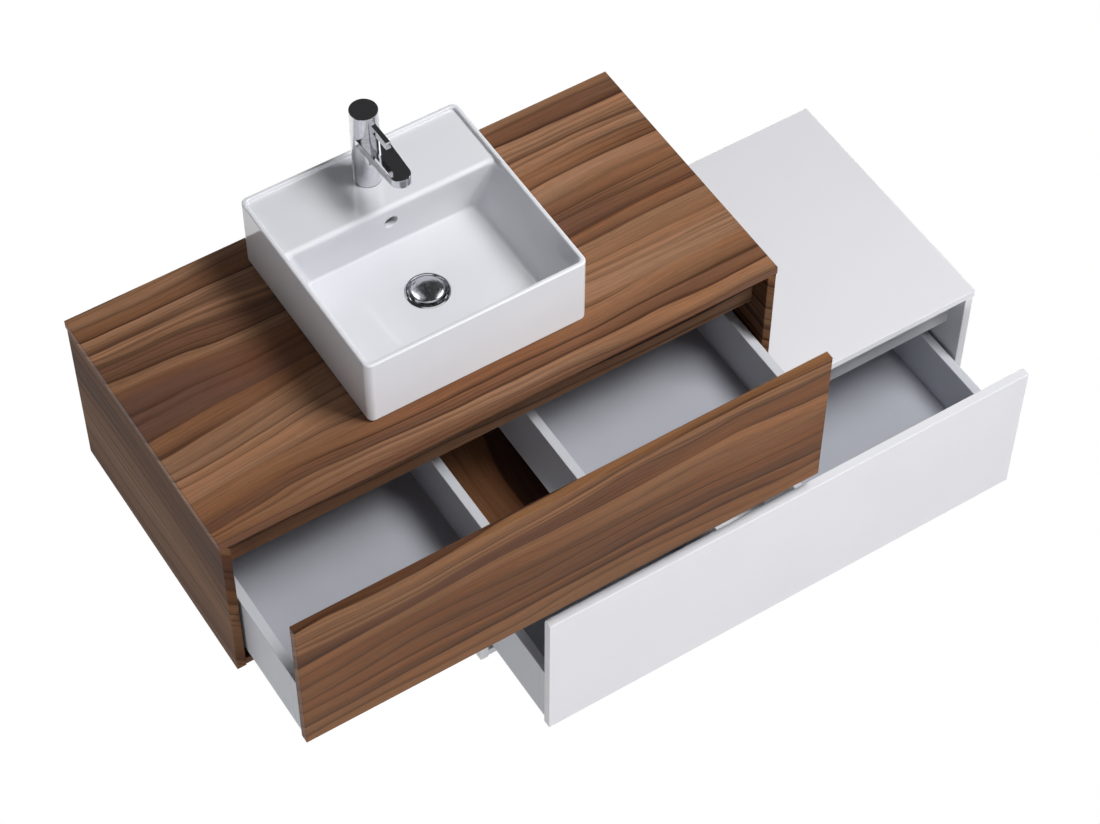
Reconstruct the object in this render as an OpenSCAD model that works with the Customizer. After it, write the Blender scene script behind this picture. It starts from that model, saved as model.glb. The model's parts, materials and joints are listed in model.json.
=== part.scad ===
// Wall-hung bathroom vanity: a walnut drawer cabinet with a square basin and a single-lever tap, and a
// white drawer cabinet of the same size hung lower and further right. Both drawers stand open.
// The origin is the middle of the upper cabinet's row of wall bolts, on the wall. Y runs into the wall.

/* [Cabinets] */
// Width of one cabinet, over its top board
cab_w = 1000; // [900:10:1200]
// Depth of one cabinet, from the wall to its front
cab_d = 500; // [480:5:600]
// Height of one cabinet
cab_h = 340; // [320:5:420]
// Thickness of the boards
board = 16; // [15:0.5:18]
// Overhang of the top board past each side
top_overhang = 2; // [1:0.5:5]
// How far the lower cabinet stands to the right of the upper one
lower_shift = 438; // [200:1:600]
// How far the bottom board's front edge stands back
bottom_setback = 2; // [1:0.5:6]
// Chamfer on the board edges
ease = 0.8; // [0.3:0.1:1.2]

/* [Rails inside the cabinets] */
// How far the front rail stands back from the front
front_rail_setback = 36; // [30:1:60]
// Height of the front rail
front_rail_h = 92; // [60:1:120]
// Height of the hanging rail at the back
hanging_rail_h = 100; // [90:1:130]
// Space behind the hanging rail for the wall rail
wall_space = 18; // [16:1:25]

/* [Drawers] */
// How far both drawers stand open
drawer_open = 183; // [0:1:300]
// Gap between the drawer front and the sides
front_side_gap = 5; // [2:0.5:8]
// Gap between the drawer front and the top board
front_top_gap = 2.5; // [2:0.5:6]
// Gap between the drawer front and the bottom board
front_bottom_gap = 3; // [2:0.5:6]
// Gap between the drawer box and the sides
box_side_gap = 5.5; // [4.5:0.5:8]
// Length of the drawer box behind the front
box_l = 450; // [400:10:500]
// Height of the drawer box walls
box_wall_h = 132; // [80:1:150]
// Space under the drawer box walls
box_lift = 18; // [17:0.5:24]
// Thickness of the drawer floors
floor_t = 8; // [6:0.5:12]
// How far the floors sit above the lower edge of the walls
floor_recess = 13; // [12:0.5:18]
// Width of the gap between the two boxes that leaves room for the trap
trap_gap = 160; // [120:5:240]

/* [Runners] */
// Thickness of the runner steel
runner_gauge = 1.5; // [1:0.1:2]
// Running gap between the runner members
runner_gap = 0.5; // [0.4:0.1:1]
// Width of the runner from the side inwards
runner_w = 41; // [38:1:48]
// Length of the cabinet member
runner_l = 450; // [400:10:500]
// Length of the middle member
middle_l = 420; // [360:10:480]
// Length of the drawer member
drawer_member_l = 430; // [380:10:480]

/* [Wall fixing] */
// Depth of the bolt row below the upper face of the top board
bolt_drop = 70; // [60:1:90]
// Distance of the outer wall bolts from the ends of the cabinet
outer_bolt_inset = 80; // [60:5:120]
// Distance between the inner wall bolts
inner_bolts = 280; // [100:10:400]
// Radius of the wall bolt holes
bolt_hole_r = 4.25; // [3:0.25:6]

/* [Basin] */
// Width of the basin
basin_w = 390; // [340:5:450]
// Depth of the basin, front to back
basin_d = 390; // [360:5:410]
// Height of the basin
basin_h = 137; // [120:1:160]
// Distance from the wall to the back of the basin
basin_back = 37; // [20:1:60]
// How far the basin stands left of the middle
basin_left = 5; // [0:1:40]
// Radius of the upright corners
basin_corner = 12; // [8:1:20]
// Width of the rim
rim_w = 7; // [6:0.5:12]
// Depth of the tap deck, from the outside of the back wall
deck_l = 133; // [110:1:150]
// Drop of the tap deck below the rim
deck_drop = 7; // [3:0.5:15]
// Height of the bowl floor above the worktop
bowl_floor = 33; // [28:1:50]
// How far the side and front walls of the bowl lean in
bowl_lean = 35; // [10:1:45]
// How far the back wall of the bowl runs back under the deck
bowl_undercut = 10; // [1:1:12]
// Thickness of the ceramic
ceramic_t = 8; // [6:0.5:10]
// Radius of the overflow hole
overflow_r = 11.5; // [8:0.5:14]

/* [Waste] */
// Radius of the waste flange
flange_r = 36.5; // [34:0.5:40]
// Radius of the domed plug
plug_r = 27.25; // [24:0.25:28]
// Outer radius of the waste tail, thread G 1 1/4
tail_r = 20.95; // [16:0.05:21]
// Length of the tail below the worktop
tail_below = 45; // [35:1:90]

/* [Tap] */
// Radius of the tap body
tap_r = 23; // [20:0.5:26]
// Height of the tap body above the deck
tap_body_h = 109; // [80:1:150]
// Height of the lever cap
cap_h = 42.5; // [36:0.5:50]
// Reach from the tap's axis to the end of the spout
spout_reach = 123; // [100:1:150]
// Width of the spout at its end
spout_w = 34; // [26:1:36]
// Width of the spout at the tap's axis
spout_root_w = 44; // [36:1:45]
// Thickness of the spout
spout_t = 16.5; // [12:0.5:20]
// Rise of the spout, in degrees
spout_rise = 1.5; // [0:0.5:5]
// Length of the lever outside the cap
lever_l = 51.5; // [40:0.5:90]
// Rise of the lever, in degrees
lever_rise = 2; // [0:0.5:10]
// How far the lever lifts, in degrees
lever_lift = 20; // [10:1:25]

/* [Hidden] */
UPPER = 0;
LOWER = 1;
LEFT = 0;
RIGHT = 1;
$fn = 64;

// Overrun of every cut past the face that it leaves
over = 1;
// Clearance of a fixed piece in its seat
seat_gap = 0.15;

// Planes of a cabinet, in its own frame: left end, wall and upper face of the top board are zero
front_y = -cab_d;
inside_left = top_overhang + board;
inside_right = cab_w - inside_left;
inside_w = inside_right - inside_left;
floor_z = -cab_h + board;
hanging_y = -wall_space - board;

// Drawer planes, with the drawer shut
front_back_y = front_y + board;
box_left = inside_left + box_side_gap;
box_right = inside_right - box_side_gap;
walls_y = front_back_y + board;
box_end_y = front_back_y + box_l;
wall_z = floor_z + box_lift;
panel_z = wall_z + floor_recess;
inner_left = (cab_w - trap_gap) / 2;

// Eccentric connectors: a disc in one board and a pin into the next
cam_r = 7.5;
cam_depth = 12.5;
cam_pin_r = 3;
cam_set = 34;
cam_pin_in = 10;
cam_inset = 60;
cam_cross_l = 8;
cam_cross_w = 1.4;
cam_cross_depth = 3;
cam_reach = cam_set + cam_pin_in;
top_cam_z = -board - cam_set;
bottom_mid_z = -cab_h + board / 2;
front_rail_y = front_y + front_rail_setback;
front_rail_mid_z = -board - front_rail_h / 2;
hanging_mid_z = -board - hanging_rail_h / 2;
cam_rows = [front_y + cam_inset, -cam_inset];
// Each place is a point on the face that shows the disc, and the turn that brings the pin to its board
cam_places = [
    for (y = cam_rows) [[inside_left, y, top_cam_z], [0, -90, 180]],
    for (y = cam_rows) [[inside_right, y, top_cam_z], [0, -90, 0]],
    for (y = cam_rows) [[inside_left + cam_set, y, -cab_h], [0, 180, 0]],
    for (y = cam_rows) [[inside_right - cam_set, y, -cab_h], [180, 0, 0]],
    [[inside_left + cam_set, front_rail_y + board, front_rail_mid_z], [90, 0, 180]],
    [[inside_right - cam_set, front_rail_y + board, front_rail_mid_z], [-90, 0, 0]],
    [[inside_left + cam_set, hanging_y, hanging_mid_z + cam_set], [-90, 0, 180]],
    [[inside_right - cam_set, hanging_y, hanging_mid_z + cam_set], [90, 0, 0]]
];

// Wall rail and hangers
rail_gauge = 2;
wall_rail_h = 40;
wall_rail_end_gap = 20;
outer_bolts = cab_w - 2 * outer_bolt_inset;
lip_step = 8;
lip_h = 14;
lip_rise = 10;
hanger_w = 46;
hanger_h = 62;
hanger_d = 14;
hanger_corner = 5;
hanger_end_gap = 3;
hook_w = 22;
hook_t = 4;
hook_drop = 9;
hook_gap = 0.3;
hanger_screw_r = 5;
hanger_screw_h = 2;
lip_top_z = -bolt_drop + lip_rise + lip_h;
hanger_top_z = lip_top_z + hook_gap + hook_t + (hanger_h - wall_rail_h) / 2;

// Runner section, from the inside face of a side and the upper face of the bottom board
runner_base = 2;
runner_leg_h = 34;
runner_lip_h = 14;
middle_w = 15;
middle_h = 10;
member_w = middle_w - 2 * (runner_gauge + runner_gap);
member_in = runner_w - runner_gauge - runner_gap - runner_gauge - runner_gap - member_w;
middle_in = member_in - runner_gap - runner_gauge;
middle_z = runner_base + runner_gauge + runner_gap;
member_z = middle_z + runner_gauge + runner_gap;
member_h = box_lift + floor_recess - member_z;
runner_setback = 3;
press_in = 3;
latch_l = 16;
latch_w = 16;
latch_h = 24;
latch_y = front_back_y + runner_setback + runner_l;
catch_w = 22;
catch_l = 60;
catch_h = 14;
catch_tab_l = 18;
catch_tab_t = 4;
catch_clear = 0.4;

// Screws of the drawer front
screw_r = 2;
screw_head_r = 4.2;
screw_head_h = 2.4;
screw_in_front = 11;
screw_gap = 0.2;
screw_inset = 70;
screw_edge = 30;

// Basin planes, in the upper cabinet's frame
basin_x = cab_w / 2 - basin_left;
basin_front = -basin_back - basin_d;
basin_foot_r = 7;
basin_rim_r = 2.2;
deck_z = basin_h - deck_drop;
bowl_back = -basin_back - deck_l;
bowl_top_r = 9;
bowl_foot_r = 12;
bowl_foot_round = 7;
bowl_steps = 4;
skirt_t = 12;
deck_lap = 20;
bowl_facets = 24;
ring_t = 0.01;
waste_y = (basin_front + rim_w + bowl_lean + bowl_back + bowl_undercut) / 2;
boss_r = 42;
boss_h = 22;
waste_seat_r = 32;
waste_seat_depth = 8;
waste_hole_r = 23;
overflow_share = 0.6;
overflow_z = bowl_floor + overflow_share * (deck_z - bowl_floor);
duct_w = 25;
duct_d = 11;
duct_t = 4;
duct_y = bowl_back + bowl_undercut + ceramic_t;
duct_low = bowl_floor - boss_h + duct_t;
duct_top = bowl_floor - waste_seat_depth - duct_t;
worktop_waste_r = 35;
worktop_hose_r = 30;

// Waste, heights from the bowl floor
flange_t = 2.2;
flange_lip_r = 30.5;
cup_wall = 1.8;
cup_depth = 6.5;
bore_r = 17.5;
window_w = 14;
waste_end = -bowl_floor - board - tail_below;
thread_l = 40;
neck_w = 3;
neck_depth = 0.8;
washer_r = 33;
washer_t = 3;
nut_r = 31;
nut_h = 12;
thread_gap = 0.2;
plug_lift = 2.4;
plug_edge = 1.6;
plug_dome = 4;
plug_stem_r = 4;
plug_stem_l = 30;
plug_guide_r = 16.8;
plug_guide_t = 3;
plug_steps = 8;

// Tap, heights from the deck
tap_y = -96;
gasket_t = 1;
gasket_bore_r = 19.5;
tap_hole_r = 17.5;
cap_gap = 0.4;
cap_clear = 0.6;
cap_wall = 3.6;
cap_top_t = 8;
cap_edge = 0.4;
lift_spare = 1.5;
pivot_rise = 5;
pivot_r = 2;
pivot_set = 1.6;
pivot_end = tap_r - cap_wall + pivot_set;
collar_r = 13;
collar_h = 12;
collar_gap = 0.3;
collar_edge = 3;
tap_top = gasket_t + tap_body_h;
cap_base = tap_top + cap_gap;
spout_end_r = spout_w / 2;
spout_top_drop = 4;
spout_edge = 0.8;
hose_r = 5;
hose_depth = 14;
hose_x = 8.5;
hose_y = -4;
stud_r = 4;
stud_y = 11;
stud_in = 12;
stud_l = 62;
clamp_r = 25;
clamp_t = 3;
clamp_slot_r = 14.5;
clamp_nut_r = 7.5;
clamp_nut_h = 7;
lever_t = 8;
lever_h = 14;
lever_end = 1.5;
lever_root_in = 2.8;
lever_top_drop = 8.3;
aerator_r = 11;
aerator_h = 9;
aerator_in = 6;
aerator_bore_r = 8.5;
aerator_bore_depth = 3;

function unit_x(unit) = -cab_w / 2 + (unit == LOWER ? lower_shift : 0);
function unit_z(unit) = bolt_drop - (unit == LOWER ? cab_h : 0);
function unit_color(unit) = unit == LOWER ? [0.88, 0.88, 0.9] : [0.42, 0.26, 0.17];
steel = [0.68, 0.7, 0.72];
drawer_grey = [0.84, 0.85, 0.87];
ceramic_white = [0.95, 0.95, 0.96];
chrome_grey = [0.78, 0.79, 0.82];

// Brings a cabinet's own frame to its place on the wall
module in_unit(unit) {
    translate([unit_x(unit), 0, unit_z(unit)]) children();
}

// Brings a drawer's shut place to where the drawer stands
module opened(share) {
    translate([0, -share * drawer_open, 0]) children();
}

// Mirrors a left-hand piece to the right-hand side of a cabinet
module on_side(side) {
    if (side == LEFT) children();
    else translate([cab_w, 0, 0]) mirror([1, 0, 0]) children();
}

function chamfered(a, b) = [
    [ease, 0], [a - ease, 0], [a, ease], [a, b - ease], [a - ease, b], [ease, b], [0, b - ease], [0, ease]
];

// A board with all its edges eased
module board_block(size) {
    intersection() {
        linear_extrude(size[2]) polygon(chamfered(size[0], size[1]));
        translate([0, size[1], 0]) rotate([90, 0, 0]) linear_extrude(size[1]) polygon(chamfered(size[0], size[2]));
        rotate([90, 0, 90]) linear_extrude(size[0]) polygon(chamfered(size[1], size[2]));
    }
}

// A connector: the disc's face is at zero and faces up, the pin points along X
module cam() {
    difference() {
        translate([0, 0, -cam_depth]) cylinder(r = cam_r, h = cam_depth);
        for (turn = [45, 135]) rotate(turn)
            translate([-cam_cross_l / 2, -cam_cross_w / 2, -cam_cross_depth])
                cube([cam_cross_l, cam_cross_w, cam_cross_depth + over]);
    }
    translate([0, 0, -board / 2]) rotate([0, 90, 0]) cylinder(r = cam_pin_r, h = cam_reach);
}

module cam_bores() {
    for (place = cam_places) translate(place[0]) rotate(place[1]) {
        translate([0, 0, -cam_depth - seat_gap]) cylinder(r = cam_r + seat_gap, h = cam_depth + seat_gap + over);
        translate([0, 0, -board / 2]) rotate([0, 90, 0])
            cylinder(r = cam_pin_r + seat_gap, h = cam_reach + seat_gap);
    }
}

module top_board(unit) {
    color(unit_color(unit)) difference() {
        translate([0, front_y, -board]) board_block([cab_w, cab_d, board]);
        cam_bores();
        if (unit == UPPER) {
            translate([basin_x, waste_y, -board - over]) cylinder(r = worktop_waste_r, h = board + 2 * over);
            translate([basin_x, tap_y, -board - over]) cylinder(r = worktop_hose_r, h = board + 2 * over);
        }
    }
}

module side_board(unit, side) {
    color(unit_color(unit)) difference() {
        on_side(side) translate([top_overhang, front_y, -cab_h]) board_block([board, cab_d, cab_h - board]);
        cam_bores();
    }
}

module bottom_board(unit) {
    color(unit_color(unit)) difference() {
        translate([inside_left, front_y + bottom_setback, -cab_h])
            board_block([inside_w, cab_d - bottom_setback - wall_space, board]);
        cam_bores();
    }
}

module front_rail(unit) {
    color(unit_color(unit)) difference() {
        translate([inside_left, front_rail_y, -board - front_rail_h])
            board_block([inside_w, board, front_rail_h]);
        cam_bores();
    }
}

// The board that the hangers are screwed to, with a slot for each hook
module hanging_rail(unit) {
    color(unit_color(unit)) difference() {
        translate([inside_left, hanging_y, -board - hanging_rail_h])
            board_block([inside_w, board, hanging_rail_h]);
        cam_bores();
        for (side = [LEFT, RIGHT]) on_side(side)
            translate([hook_x() - over, hanging_y - over, lip_top_z])
                cube([hook_w + 2 * over, board + 2 * over, hook_t + 2 * hook_gap]);
    }
}

function hanger_x() = inside_left + cam_set + cam_r + hanger_end_gap;
function hook_x() = hanger_x() + (hanger_w - hook_w) / 2;

// Steel rail on the wall, with a lip that the hooks drop over
module wall_rail() {
    lip_z = lip_rise;
    section = [
        [0, -wall_rail_h / 2], [0, wall_rail_h / 2], [-rail_gauge, wall_rail_h / 2],
        [-rail_gauge, lip_z + rail_gauge], [-lip_step, lip_z + rail_gauge], [-lip_step, lip_z + lip_h],
        [-lip_step - rail_gauge, lip_z + lip_h], [-lip_step - rail_gauge, lip_z], [-rail_gauge, lip_z],
        [-rail_gauge, -wall_rail_h / 2]
    ];
    rail_l = inside_w - 2 * wall_rail_end_gap;
    color(steel) translate([cab_w / 2, 0, -bolt_drop]) difference() {
        translate([-rail_l / 2, 0, 0]) rotate([90, 0, 90]) linear_extrude(rail_l) polygon(section);
        for (x = [-outer_bolts, -inner_bolts, inner_bolts, outer_bolts] / 2)
            translate([x, over, 0]) rotate([90, 0, 0]) cylinder(r = bolt_hole_r, h = rail_gauge + 2 * over);
    }
}

// Hanger: a housing on the hanging rail, with its two setting screws and the hook that reaches the wall rail
module hanger() {
    housing_z = hanger_top_z - hanger_h;
    translate([hanger_x(), hanging_y, housing_z]) rotate([90, 0, 0]) linear_extrude(hanger_d) polygon([
        [hanger_corner, 0], [hanger_w - hanger_corner, 0], [hanger_w, hanger_corner],
        [hanger_w, hanger_h - hanger_corner], [hanger_w - hanger_corner, hanger_h],
        [hanger_corner, hanger_h], [0, hanger_h - hanger_corner], [0, hanger_corner]
    ]);
    for (row = [1, 3]) translate([hanger_x() + hanger_w / 2, hanging_y - hanger_d, housing_z + row * hanger_h / 4])
        rotate([90, 0, 0]) cylinder(r = hanger_screw_r, h = hanger_screw_h);
    translate([hook_x(), hanging_y, lip_top_z + hook_gap])
        cube([hook_w, -hanging_y - rail_gauge - hook_gap, hook_t]);
    translate([hook_x(), -lip_step + hook_gap, lip_top_z + hook_gap - hook_drop])
        cube([hook_w, lip_step - rail_gauge - 2 * hook_gap, hook_drop]);
}

module cabinet_hangers() {
    color(steel) for (unit = [UPPER, LOWER], side = [LEFT, RIGHT]) in_unit(unit) on_side(side) hanger();
}

module cam_connectors() {
    color(steel) for (unit = [UPPER, LOWER]) in_unit(unit)
        for (place = cam_places) translate(place[0]) rotate(place[1]) cam();
}

// A runner section drawn from the side inwards and from the bottom board up, run along the drawer
module along_runner(start, length) {
    translate([inside_left, start + length, floor_z]) rotate([90, 0, 0]) linear_extrude(length) children();
}

module channel(x, z, width, left_h, right_h) {
    translate([x, z]) square([width, runner_gauge]);
    translate([x, z]) square([runner_gauge, left_h]);
    translate([x + width - runner_gauge, z]) square([runner_gauge, right_h]);
}

// Member on the cabinet side, with the push-to-open housing at its back end
module cabinet_runners() {
    color(steel) for (side = [LEFT, RIGHT]) on_side(side) {
        along_runner(front_back_y + runner_setback, runner_l + latch_l)
            channel(0, runner_base, runner_w, runner_leg_h, runner_lip_h);
        along_runner(latch_y + runner_gap, latch_l - runner_gap)
            translate([runner_w - runner_gauge - latch_w, runner_base + runner_gauge])
                polygon(chamfered(latch_w, latch_h));
    }
}

module middle_runners() {
    color(steel) for (side = [LEFT, RIGHT]) on_side(side) opened(0.5)
        along_runner(front_back_y + runner_setback, middle_l)
            channel(middle_in, middle_z, middle_w, middle_h, middle_h);
}

// Member under the drawer floor, a closed section
module drawer_runners() {
    color(steel) for (side = [LEFT, RIGHT]) on_side(side) opened(1)
        along_runner(walls_y + catch_clear, drawer_member_l - board) difference() {
            translate([member_in, member_z]) square([member_w, member_h]);
            translate([member_in + runner_gauge, member_z + runner_gauge])
                square([member_w - 2 * runner_gauge, member_h - 2 * runner_gauge]);
        }
}

module drawer_front(unit) {
    front_h = cab_h - 2 * board - front_top_gap - front_bottom_gap;
    color(unit_color(unit)) opened(1) difference() {
        translate([inside_left + front_side_gap, front_y, floor_z + front_bottom_gap])
            board_block([inside_w - 2 * front_side_gap, board, front_h]);
        screw_places() cylinder(r = screw_r + screw_gap, h = board + screw_in_front + screw_gap);
    }
}

// Board behind the front that ties the two boxes together
module drawer_subfront() {
    color(drawer_grey) opened(1) difference() {
        translate([box_left, front_back_y, wall_z]) board_block([box_right - box_left, board, box_wall_h]);
        screw_places() cylinder(r = screw_r + screw_gap, h = board + over);
    }
}

// Puts a piece at each front screw: zero is the inner face of the sub-front, up is towards the front
module screw_places() {
    for (side = [LEFT, RIGHT]) on_side(side)
        for (x = [box_left + screw_inset, inner_left - screw_inset],
             z = [panel_z + screw_edge, wall_z + box_wall_h - screw_edge])
            translate([x, walls_y, z]) rotate([90, 0, 0]) children();
}

module front_screws() {
    color(steel) opened(1) screw_places() {
        cylinder(r = screw_r, h = board + screw_in_front);
        translate([0, 0, -screw_head_h]) cylinder(r1 = screw_r + screw_gap, r2 = screw_head_r, h = screw_head_h);
    }
}

module outer_wall(side) {
    color(drawer_grey) opened(1) on_side(side)
        translate([box_left, walls_y, wall_z]) board_block([board, box_end_y - walls_y, box_wall_h]);
}

module inner_wall(side) {
    color(drawer_grey) opened(1) on_side(side)
        translate([inner_left - board, walls_y, wall_z]) board_block([board, box_end_y - walls_y, box_wall_h]);
}

module box_back(side) {
    color(drawer_grey) opened(1) on_side(side)
        translate([box_left + board, box_end_y - board, wall_z])
            board_block([inner_left - box_left - 2 * board, board, box_wall_h]);
}

module box_floor(side) {
    color(drawer_grey) opened(1) on_side(side)
        translate([box_left + board, walls_y, panel_z])
            cube([inner_left - box_left - 2 * board, box_end_y - board - walls_y, floor_t]);
}

// Catches beside the drawer members, each with a tab for the thumb
module runner_catches() {
    color([0.35, 0.36, 0.38]) for (side = [LEFT, RIGHT]) on_side(side) opened(1)
        translate([inside_left + member_in + member_w + catch_clear, walls_y, panel_z - catch_h]) {
            board_block([catch_w, catch_l, catch_h]);
            translate([catch_w, catch_l / 2, catch_h - catch_tab_t])
                board_block([catch_tab_l, catch_l / 3, catch_tab_t]);
        }
}

function arc(step, steps) = 90 * step / steps;

// An upright outline with its corners rounded, centred on zero
module rounded_plan(width, depth, radius) {
    square([width - 2 * radius, depth], center = true);
    square([width, depth - 2 * radius], center = true);
    for (x = [-1, 1] * (width / 2 - radius), y = [-1, 1] * (depth / 2 - radius)) translate([x, y]) circle(r = radius);
}

// The outline of a block seen from one side, rounded at its foot and at its rim
module rounded_side(width, height, foot_r, rim_r) {
    translate([foot_r, 0]) square([width - 2 * foot_r, height - rim_r]);
    translate([0, foot_r]) square([width, height - foot_r - rim_r]);
    translate([rim_r, foot_r]) square([width - 2 * rim_r, height - foot_r]);
    for (x = [foot_r, width - foot_r]) translate([x, foot_r]) circle(r = foot_r);
    for (x = [rim_r, width - rim_r]) translate([x, height - rim_r]) circle(r = rim_r);
}

// The outer form of the basin
module basin_block() {
    translate([basin_x, basin_front + basin_d / 2, 0]) intersection() {
        linear_extrude(basin_h) rounded_plan(basin_w, basin_d, basin_corner);
        translate([-basin_w / 2, basin_d / 2, 0]) rotate([90, 0, 0]) linear_extrude(basin_d)
            rounded_side(basin_w, basin_h, basin_foot_r, basin_rim_r);
        translate([-basin_w / 2, -basin_d / 2, 0]) rotate([90, 0, 90]) linear_extrude(basin_w)
            rounded_side(basin_d, basin_h, basin_foot_r, basin_rim_r);
    }
}

// The inside of the bowl, with rounded corners; each ring is [inset at the sides and front, back, height, radius]
function bowl_rings() = concat(
    [[rim_w, bowl_back, basin_h + over, bowl_top_r]],
    [for (i = [0:bowl_steps]) let (
        drop = bowl_foot_round * (1 - sin(arc(i, bowl_steps))),
        inward = bowl_foot_round * (1 - cos(arc(i, bowl_steps))),
        lean = 1 - drop / (basin_h - bowl_floor)
    ) [rim_w + bowl_lean * lean + inward, bowl_back + bowl_undercut * lean - inward, bowl_floor + drop,
        bowl_foot_r - inward]]
);

module bowl_space() {
    hull() for (ring = bowl_rings())
        for (x = [-1, 1] * (basin_w / 2 - ring[0] - ring[3]), y = [basin_front + ring[0] + ring[3], ring[1] - ring[3]])
            translate([basin_x + x, y, ring[2]]) cylinder(r = ring[3], h = ring_t, $fn = bowl_facets);
}

// The underside of the bowl, one thickness of ceramic outside its leaning walls
module bowl_skin() {
    low = bowl_floor - ceramic_t;
    top_inset = rim_w - ceramic_t;
    foot_inset = top_inset + bowl_lean;
    intersection() {
        translate([basin_x, duct_y, 0]) rotate([90, 0, 0]) linear_extrude(basin_d) polygon([
            [-basin_w / 2 + foot_inset, low], [basin_w / 2 - foot_inset, low],
            [basin_w / 2 - top_inset, basin_h], [-basin_w / 2 + top_inset, basin_h]
        ]);
        translate([basin_x - basin_w, 0, 0]) rotate([90, 0, 90]) linear_extrude(2 * basin_w) polygon([
            [basin_front + foot_inset, low], [duct_y, low],
            [bowl_back + ceramic_t, basin_h], [basin_front + top_inset, basin_h]
        ]);
    }
}

// The overflow's duct, down behind the bowl and then forward under its floor to the waste; grow adds its walls
module overflow_duct(grow, start_y, top) {
    translate([basin_x - duct_w / 2 - grow, start_y, duct_low - grow])
        cube([duct_w + 2 * grow, duct_y + duct_d + grow - start_y, overflow_z + overflow_r + 2 * grow - duct_low]);
    translate([basin_x - duct_w / 2 - grow, waste_y, duct_low - grow])
        cube([duct_w + 2 * grow, duct_y + duct_d + grow - waste_y, top - duct_low + grow]);
}

module basin() {
    color(ceramic_white) in_unit(UPPER) difference() {
        basin_block();
        bowl_space();
        translate([basin_x, (bowl_back - deck_lap - basin_back - rim_w) / 2, deck_z])
            linear_extrude(deck_drop + over)
                rounded_plan(basin_w - 2 * rim_w, -basin_back - rim_w - bowl_back + deck_lap, bowl_top_r);
        difference() {
            translate([basin_x, basin_front + basin_d / 2, -over]) linear_extrude(deck_z - ceramic_t + over)
                rounded_plan(basin_w - 2 * skirt_t, basin_d - 2 * skirt_t, bowl_top_r);
            bowl_skin();
            translate([basin_x, waste_y, bowl_floor - boss_h]) cylinder(r = boss_r, h = boss_h);
            overflow_duct(duct_t, bowl_back, bowl_floor - ceramic_t / 2);
        }
        overflow_duct(0, duct_y, duct_top);
        translate([basin_x, waste_y, bowl_floor - waste_seat_depth])
            cylinder(r = waste_seat_r, h = waste_seat_depth + over);
        translate([basin_x, waste_y, bowl_floor - boss_h - over]) cylinder(r = waste_hole_r, h = boss_h);
        translate([basin_x, tap_y, deck_z - ceramic_t - over]) cylinder(r = tap_hole_r, h = ceramic_t + 2 * over);
        translate([basin_x, duct_y + over, overflow_z]) rotate([90, 0, 0])
            cylinder(r = overflow_r, h = ceramic_t + bowl_undercut + over);
    }
}

module at_waste() {
    in_unit(UPPER) translate([basin_x, waste_y, bowl_floor]) children();
}

// Flange, cup and threaded tail in one piece, with windows for the overflow's water; the trap screws onto
// the thread below the neck
module waste_flange() {
    neck_z = waste_end + thread_l;
    color(chrome_grey) at_waste() difference() {
        flange_turning(neck_z);
        translate([-tail_r - over, -window_w / 2, duct_low - bowl_floor])
            cube([2 * (tail_r + over), window_w, duct_top - duct_low]);
    }
}

module flange_turning(neck_z) {
    rotate_extrude() polygon([
        [flange_r, 0], [flange_r, flange_t / 3], [flange_r - flange_t, flange_t], [flange_lip_r + flange_t, flange_t],
        [flange_lip_r, 0], [flange_lip_r - flange_t, -cup_depth + cup_wall], [bore_r, -waste_seat_depth],
        [bore_r, waste_end], [tail_r, waste_end], [tail_r, neck_z], [tail_r - neck_depth, neck_z],
        [tail_r - neck_depth, neck_z + neck_w], [tail_r, neck_z + neck_w],
        [tail_r, -waste_seat_depth + seat_gap], [waste_seat_r - cup_wall, -cup_depth],
        [waste_seat_r - seat_gap, -cup_wall], [waste_seat_r - seat_gap, 0]
    ]);
}

// Domed plug on its stem, standing open
module waste_plug() {
    color(chrome_grey) at_waste() {
        translate([0, 0, plug_lift]) rotate_extrude() polygon(concat(
            [[0, 0], [plug_r - plug_edge / 2, 0], [plug_r, plug_edge / 2]],
            [for (i = [1:plug_steps]) let (turn = arc(i, plug_steps))
                [plug_r * cos(turn), plug_edge + plug_dome * sin(turn)]]
        ));
        translate([0, 0, plug_lift - plug_stem_l]) cylinder(r = plug_stem_r, h = plug_stem_l);
        translate([0, 0, plug_lift - plug_stem_l]) cylinder(r = plug_guide_r, h = plug_guide_t);
    }
}

module waste_washer() {
    color([0.15, 0.15, 0.16]) at_waste() translate([0, 0, -boss_h - washer_t]) difference() {
        cylinder(r = washer_r, h = washer_t);
        translate([0, 0, -over]) cylinder(r = tail_r + thread_gap, h = washer_t + 2 * over);
    }
}

module waste_nut() {
    color([0.75, 0.6, 0.35]) at_waste() translate([0, 0, -boss_h - washer_t - nut_h]) difference() {
        cylinder(r = nut_r, h = nut_h, $fn = 8);
        translate([0, 0, -over]) cylinder(r = tail_r + thread_gap, h = nut_h + 2 * over);
    }
}

// The tap's own frame: its axis and the deck are zero, the spout points to the front
module at_tap() {
    in_unit(UPPER) translate([basin_x, tap_y, deck_z]) children();
}

// The spout's own frame: zero on the tap's axis at the spout's underside, the spout runs along -Y
module along_spout() {
    translate([0, 0, tap_top - spout_top_drop - spout_t]) rotate([-spout_rise, 0, 0]) children();
}

// Tapers from the body to a round end; the sides are tangent to the end
module spout_bar(inset, low, high) {
    end_y = spout_end_r - spout_reach;
    turn = asin((spout_root_w / 2 - spout_end_r) / -end_y);
    root = spout_root_w / 2 - inset;
    end = spout_end_r - inset;
    translate([0, 0, low]) linear_extrude(high - low) {
        polygon([
            [root * cos(turn), -root * sin(turn)], [-root * cos(turn), -root * sin(turn)],
            [-end * cos(turn), end_y - end * sin(turn)], [end * cos(turn), end_y - end * sin(turn)]
        ]);
        translate([0, end_y]) circle(r = end);
    }
}

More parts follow.
